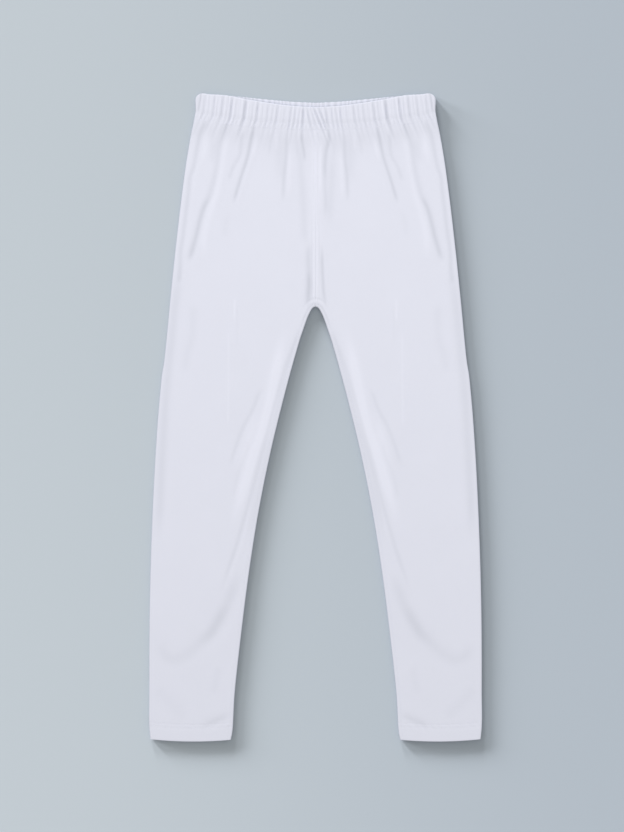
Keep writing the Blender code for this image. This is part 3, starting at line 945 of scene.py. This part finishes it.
    def build(self, cloth: bpy.types.Material) -> bpy.types.Object:
        """Args:
            cloth: The jersey.

        Returns:
            The leg's shell.
        """
        outer, inner, uv, painted_shading = self.skins()
        rows, columns = outer.shape[:2]
        points = np.vstack([outer.reshape(-1, 3), inner.reshape(-1, 3)])
        points[:, 0] *= self.side.value
        faces = grid_faces(rows, columns, 0, True)
        faces += grid_faces(rows, columns, rows * columns, False)
        faces += rim_faces(rows, columns)
        if self.side is Side.RIGHT:
            faces = [face[::-1] for face in faces]
        uvs = np.vstack([uv.reshape(-1, 2)] * 2) * MM
        piece = mesh_object(f"{self.name}_cloth", points, faces, uvs, np.tile(painted_shading.ravel(), 2))
        piece.data.materials.append(cloth)
        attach(piece, "root")
        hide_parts(self.name)
        return piece


@dataclass
class Waistband:
    """The gathered casing round the waist, two plies over hidden elastic."""

    pattern: Pattern
    relief: Relief
    fold_height: float = 2.85
    slit: float = 0.5
    side_wall: float = 2.7
    rim: float = 1.3
    bead_pitch: float = 5.2
    mean_height: float = 29.6

    def columns(self) -> tuple[Array, Array]:
        """Places across the waistband all the way round, and which are on the front."""
        half = self.pattern.waist_half
        roll = self.pattern.front_roll
        side = half - turned_in(roll, FRONT_TURNS)
        middle = np.linspace(roll - half, half - roll, 240)
        front = np.concatenate([-side, middle, side[::-1]])
        near = half - turned_in(self.fold_height, BACK_TURNS)
        back = np.linspace(half - self.fold_height, self.fold_height - half, 150)
        places = np.concatenate([front, near, back, -near[::-1]])
        return places, np.arange(len(places)) < len(front)

    def section(self) -> list[tuple[float, float, float]]:
        """Places round the wall's section: share up from the seam, shift, share through."""
        outer = [(share, 0.0, 0.0) for share in np.linspace(0, 0.93, 26)]
        turn = np.radians(np.arange(0, 181, 22.5))
        rim = [(1.0, -self.rim * (1 - math.sin(a)), 0.5 - 0.5 * math.cos(a)) for a in turn]
        inner = [(share, 0.0, 1.0) for share in (0.94, 0.91, 0.88, 0.85, 0.82, 0.6, 0.3, 0.0)]
        return outer + rim + inner

    def puff(self, up: Array) -> Array:
        """Rise of the casing over the elastic, by millimetres above the seam."""
        above = up - self.pattern.stitch_up
        return 0.30 * eased(above / 5.0) - 0.10 * bell(above, 0.9)

    def front(self, across: Array, down: Array, up: Array, top: Array) -> tuple[Array, Array]:
        """Work out the front's gathers, small gathers at the seam, fine ridges and side folds.

        Args:
            across: Signed places across.
            down: Depths.
            up: Distances above the seam.
            top: Depths of the upper edge.

        Returns:
            The height, and the shade painted on each point.
        """
        pat, rel = self.pattern, self.relief
        left = rel.left_below + (1 - rel.left_below) * eased(up / pat.stitch_up)
        left = left * (0.5 + 0.5 * eased((down - top) / 7))
        gathered = left * rel.gathered(across, down)
        outward = np.abs(across) - 0.28 * (pat.stitch_up - up)
        small = (0.5 + 0.5 * np.sin(outward * 1.45 + 0.9 * np.sin(outward * 0.21))) ** 3
        small = 0.42 * (0.3 - small) * bell(up - 3.6, 2.7)
        fine = 0.12 * np.sin(across * 2.3 + 2 * np.sin(across * 0.13)) * eased((up - 8) / 6)
        from_side = pat.waist_half - np.abs(across)
        folded = bell(from_side - 6.2 + 0.16 * down, 1.0) * (1 - eased((down - 15) / 8))
        height = pat.band_height + self.puff(up) + gathered + small + fine - 0.5 * folded
        # Shade is painted over the front, in the gathers and in the side folds, and highlights on the
        # crests
        painted_gather_shading = np.clip(left * rel.crest - gathered - small - fine, -0.5, 1.2)
        return height, 0.15 + 0.80 * painted_gather_shading + 0.75 * folded

    def ring(self, row: tuple[float, float, float], places: Array,
             is_front: Array) -> tuple[Array, Array, Array]:
        """Lay out one ring of the wall.

        Args:
            row: The ring's row from section.
            places: Places across the waistband.
            is_front: Which of them are on the front.

        Returns:
            Its points, its places on the cloth, and the shade painted on each.
        """
        share, shift, through = row
        pat = self.pattern
        seam = pat.band_bottom(places * pat.seam_half / pat.waist_half) - pat.seam_gap / 2
        top = pat.band_top(places, is_front)
        down = seam + (top - seam) * share - shift
        up = seam - down
        outer_half = smooth_curve(pat.outer_edge, down)
        across = places * outer_half / pat.waist_half
        away = pat.waist_half - np.abs(places)
        front, painted_shading = self.front(across, down, up, top)
        ripple = 0.5 - 0.5 * np.cos(2 * math.pi * places / 8.0 + np.sin(places * 0.11))
        sewn = 0.3 * bell(up - pat.stitch_up, 0.8) + 0.3 * bell(up, 0.9)
        outer_z = np.where(is_front, pat.front_skin(front, away, self.fold_height),
                           back_skin(0.40 * ripple + sewn, away, self.fold_height))
        inside = across * (outer_half - self.side_wall) / outer_half
        opening = self.slit / 2 * rolled(away, 1.5)
        inner_z = self.fold_height + np.where(is_front, opening, -opening)
        beads = np.sin(math.pi * places / self.bead_pitch + 1.2 * np.sin(places * 0.17)) ** 2
        crown = np.sin(math.pi * through)
        edge = crown * np.where(is_front, 0.10, 0.60 * rolled(away, self.fold_height))
        x = across * (1 - through) + inside * through
        z = outer_z * (1 - through) + inner_z * through + edge * beads
        lift = 0.25 * crown * beads * np.where(is_front, 0.3, 1.0)
        # Painted shade on the inner wall, darkest under the front's rim and between the beads, lighter
        # on the beads
        tucked = eased((down - pat.band_top(places, np.True_) + 1.7) / 1.2)
        shaded = max(through, crown) * (0.75 - 0.75 * beads + 0.9 * tucked)
        painted_shading = np.where(is_front, painted_shading * (1 - through), shaded)
        points = np.column_stack([x, pat.length / 2 - down + lift, z])
        return points, np.column_stack([across, up]), np.clip(painted_shading, *PAINTED_SHADING_RANGE)

    def build(self, cloth: bpy.types.Material) -> bpy.types.Object:
        """Args:
            cloth: The jersey.

        Returns:
            The waistband's shell.
        """
        places, is_front = self.columns()
        rings = [self.ring(row, places, is_front) for row in self.section()]
        rows, columns = len(rings), len(places)
        faces = []
        for i in range(rows):
            for j in range(columns):
                below, beside = (i + 1) % rows, (j + 1) % columns
                faces.append((i * columns + j, i * columns + beside,
                              below * columns + beside, below * columns + j))
        points = np.vstack([points for points, _, _ in rings])
        uvs = np.vstack([uv for _, uv, _ in rings]) * MM
        painted_shading = np.concatenate([painted_shading for *_, painted_shading in rings])
        piece = mesh_object("waistband_cloth", points, faces, uvs, painted_shading)
        piece.data.materials.append(cloth)
        turn_outwards(piece)
        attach(piece, "root")
        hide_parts("waistband")
        return piece


def turn_outwards(piece: bpy.types.Object) -> None:
    """Turn a closed piece's faces outwards in edit mode."""
    bpy.ops.object.select_all(action="DESELECT")
    piece.select_set(True)
    bpy.context.view_layer.objects.active = piece
    bpy.ops.object.mode_set(mode="EDIT")
    bpy.ops.mesh.select_all(action="SELECT")
    bpy.ops.mesh.normals_make_consistent(inside=False)
    bpy.ops.object.mode_set(mode="OBJECT")


@dataclass
class Sewing:
    """Rows of thread on the seams and hems."""

    pattern: Pattern
    relief: Relief
    legs: dict
    band: Waistband
    pitch: float = 2.8
    stitch_length: float = 2.35
    thickness: float = 0.34
    proud: float = 0.05
    sunk: float = 0.02
    rows: list = field(default_factory=list)

    def stitch(self) -> tuple[Array, list]:
        """Model one stitch.

        Returns:
            The points and faces of a small rounded length of thread along X, in the same
            order in every run.
        """
        bpy.ops.object.select_all(action="DESELECT")
        bpy.ops.mesh.primitive_uv_sphere_add(segments=6, ring_count=4, radius=0.5)
        model = bpy.context.object
        bpy.ops.object.mode_set(mode="EDIT")
        bpy.ops.transform.rotate(value=math.pi / 2, orient_axis="Y", center_override=(0, 0, 0))
        size = (self.stitch_length, self.thickness, self.thickness)
        bpy.ops.transform.resize(value=size, center_override=(0, 0, 0))
        bpy.ops.object.mode_set(mode="OBJECT")
        points = np.array([vertex.co[:] for vertex in model.data.vertices])
        faces = []
        for face in model.data.polygons:
            corners = list(face.vertices)
            first = corners.index(min(corners))
            faces.append(corners[first:] + corners[:first])
        bpy.data.objects.remove(model)
        return points, sorted(faces)

    def spaced(self, line: Array) -> tuple[Array, Array]:
        """Space stitches evenly along a line of points.

        Args:
            line: The line, as points in space.

        Returns:
            The middle of each stitch, and the direction it runs.
        """
        along = lengths_along(line)
        count = max(2, int(along[-1] / self.pitch))
        middles = (np.arange(count) + 0.5) * along[-1] / count
        behind, place, ahead = [
            np.stack([np.interp(middles + shift, along, axis) for axis in line.T], axis=1)
            for shift in (-0.6, 0.0, 0.6)
        ]
        run = ahead - behind
        return place, run / np.linalg.norm(run, axis=1, keepdims=True)

    def seated(self, z: Array, face: Face) -> Array:
        """Height of the stitches on the cloth, and at the back not below what it lies on."""
        if face is Face.FRONT:
            return z + self.proud
        return np.maximum(z - self.sunk, self.thickness / 2)

    def on_leg(self, flat: Array, side: Side, face: Face) -> Array:
        """Put a line of across and down on a leg's cloth.

        Args:
            flat: The line's points as across and down.
            side: The wearer's side.
            face: Front or back.

        Returns:
            The line in space, in millimetres.
        """
        leg, pat = self.legs[side], self.pattern
        away = pat.side_distance(flat)
        z = leg.front(flat, away)[0] if face is Face.FRONT else leg.back(flat, away)
        return np.column_stack([flat[:, 0] * side.value, pat.length / 2 - flat[:, 1],
                                self.seated(z, face)])

    def hem_rows(self, side: Side, face: Face) -> None:
        """Sew the two rows of a hem's coverstitch."""
        pat = self.pattern
        end = pat.inseam[-1][1]
        for above in HEM_STITCHES:
            inner = float(np.interp(end - above, pat.inseam_line[:, 1], pat.inseam_line[:, 0]))
            outer = float(smooth_curve(pat.outer_edge, end - above))
            across = np.linspace(inner + 1.0, outer - 1.0, 80)
            line = np.column_stack([across, pat.hem_edge(across) - above])
            self.rows.append(self.on_leg(line, side, face))

    def centre_row(self, side: Side, face: Face) -> None:
        """Sew one of the two rows beside the centre seam."""
        down = np.linspace(self.pattern.band_centre_depth + 1, self.pattern.rise - 5.5, 120)
        line = np.column_stack([np.full(120, CENTRE_STITCHES), down])
        self.rows.append(self.on_leg(line, side, face))

    def inseam_row(self, side: Side) -> None:
        """Sew the row along the crotch arch and inseam."""
        pat = self.pattern
        line = pat.inseam_line
        run = np.gradient(line, axis=0)
        run = run / np.linalg.norm(run, axis=1, keepdims=True)
        inside = line + INSEAM_STITCHES * np.column_stack([run[:, 1], -run[:, 0]])
        keep = (inside[:, 0] > 0.6) & (pat.above_hem(inside) > 19)
        self.rows.append(self.on_leg(inside[keep], side, Face.FRONT))

    def waist_rows(self, face: Face) -> None:
        """Sew the two rows at the waistband's lower edge."""
        band, pat = self.band, self.pattern
        places = np.linspace(3 - pat.waist_half, pat.waist_half - 3, 400)
        is_front = np.full(400, face is Face.FRONT)
        for up in (pat.stitch_up, 0.9):
            height = pat.band_bottom(places) - pat.band_top(places, is_front)
            line = np.array([
                band.ring((up / tall, 0.0, 0.0), places[k:k + 1], is_front[k:k + 1])[0][0]
                for k, tall in enumerate(height)
            ])
            line[:, 2] = self.seated(line[:, 2], face)
            self.rows.append(line)

    def build(self, thread: bpy.types.Material) -> bpy.types.Object:
        """Sew every row and join the stitches.

        Args:
            thread: The thread's material.

        Returns:
            One piece with all the stitches.
        """
        for face in Face:
            self.waist_rows(face)
            for side in Side:
                self.hem_rows(side, face)
                self.centre_row(side, face)
        for side in Side:
            self.inseam_row(side)
        model, model_faces = self.stitch()
        points, faces = [], []
        for line in self.rows:
            for place, run in zip(*self.spaced(line)):
                beside = np.cross((0, 0, 1), run)
                beside = beside / np.linalg.norm(beside)
                axes = np.stack([run, beside, np.cross(run, beside)])
                start = len(points) * len(model)
                points.append(model @ axes + place)
                faces += [[start + k for k in face] for face in model_faces]
        mesh = bpy.data.meshes.new("sewing")
        mesh.from_pydata((np.vstack(points) * MM).tolist(), [], faces)
        mesh.shade_smooth()
        piece = bpy.data.objects.new("sewing", mesh)
        bpy.context.scene.collection.objects.link(piece)
        piece.data.materials.append(thread)
        turn_outwards(piece)
        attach(piece, "root")
        return piece


@dataclass
class Studio:
    """The plain floor, the soft lights and the camera overhead."""

    floor_size: float = 8.0
    camera_height: float = 2.6
    view_height: float = 0.9
    view_centre: tuple[float, float] = (-0.0038, 0.0016)
    fill: float = 0.43
    key_turn: float = 9.0
    key_elevation: float = 56.0
    key_distance: float = 4.7
    key_size: float = 3.6
    key_power: float = 160.0
    low_lights: list[tuple[float, float, float, float]] = field(default_factory=lambda: [
        (14.0, 12.0, 12.0, 2.17), (42.0, 10.0, 12.0, 4.58), (66.0, 7.5, 12.0, 2.91),
        (0.0, 90.0, 150.0, 0.47),
    ])

    def floor(self) -> bpy.types.Object:
        """Lay the paper that the garment lies on."""
        bpy.ops.object.select_all(action="DESELECT")
        bpy.ops.mesh.primitive_plane_add(size=self.floor_size, location=(0, 0, -0.0002))
        paper = bpy.context.object
        paper.name = "paper"
        bpy.ops.object.transform_apply(location=True, rotation=True, scale=True)
        paper.data.materials.append(Paper().material())
        return paper

    def sky(self) -> None:
        """Fill from all round with pale light."""
        world = bpy.data.worlds.new("studio")
        bpy.context.scene.world = world
        world.use_nodes = True
        sky = world.node_tree.nodes["Background"]
        sky.inputs["Color"].default_value = (0.99, 1.0, 0.955, 1.0)
        sky.inputs["Strength"].default_value = self.fill

    def lamp(self, data: bpy.types.Light, turned: float, elevation: float, distance: float,
             lit: list[bpy.types.Object]) -> None:
        """Hang one soft light at the upper left.

        Args:
            data: The light.
            turned: How far it is to the left of the waist's side, in degrees.
            elevation: Its height above the horizon, in degrees.
            distance: How far it is from the garment, in metres.
            lit: The objects that it lights.
        """
        lamp = bpy.data.objects.new(data.name, data)
        turn, up = math.radians(turned), math.radians(elevation)
        towards = Vector((-math.sin(turn) * math.cos(up), math.cos(turn) * math.cos(up),
                          math.sin(up)))
        lamp.location = towards * distance
        lamp.rotation_euler = (-towards).to_track_quat("-Z", "Y").to_euler()
        bpy.context.scene.collection.objects.link(lamp)
        group = bpy.data.collections.new(data.name)
        for piece in lit:
            group.objects.link(piece)
        lamp.light_linking.receiver_collection = group

    def key(self, cloth: list[bpy.types.Object]) -> None:
        """Light the cloth with a round soft box, nearer to the waist than to the hems."""
        data = bpy.data.lights.new("key_cloth", "AREA")
        data.shape = "DISK"
        data.size = self.key_size
        data.energy = self.key_power
        self.lamp(data, self.key_turn, self.key_elevation, self.key_distance, cloth)

    def low_key(self, paper: bpy.types.Object) -> None:
        """Light the paper softly, mostly from low down, for the garment's long shadow."""
        for turned, elevation, spread, energy in self.low_lights:
            data = bpy.data.lights.new(f"key_paper_{turned:.0f}", "SUN")
            data.angle = math.radians(spread)
            data.energy = energy
            self.lamp(data, turned, elevation, 2.0, [paper])

    def camera(self) -> None:
        """Hold the camera straight above the garment."""
        data = bpy.data.cameras.new("overhead")
        data.sensor_width = 36.0
        data.lens = data.sensor_width * self.camera_height / self.view_height
        data.dof.use_dof = False
        camera = bpy.data.objects.new("overhead", data)
        camera.location = (*self.view_centre, self.camera_height)
        bpy.context.scene.collection.objects.link(camera)
        bpy.context.scene.camera = camera

    def build(self, cloth: list[bpy.types.Object]) -> None:
        """Set the stage up and keep its colours plain.

        Args:
            cloth: The garment's pieces.
        """
        paper = self.floor()
        self.sky()
        self.key(cloth)
        self.low_key(paper)
        self.camera()
        bpy.context.scene.view_settings.view_transform = "Standard"


def main() -> None:
    """Build the garment, sew it and light it."""
    pattern = Pattern()
    relief = Relief(pattern)
    jersey = Jersey().material()
    legs = {side: Leg(pattern, relief, side) for side in Side}
    band = Waistband(pattern, relief)
    pieces = [leg.build(jersey) for leg in legs.values()]
    pieces.append(band.build(jersey))
    pieces.append(Sewing(pattern, relief, legs, band).build(Thread().material()))
    for piece in pieces:
        log.info("%s: %d faces", piece.name, len(piece.data.polygons))
    Studio().build(pieces)
    bpy.context.view_layer.update()


if __name__ == "__main__":
    main()
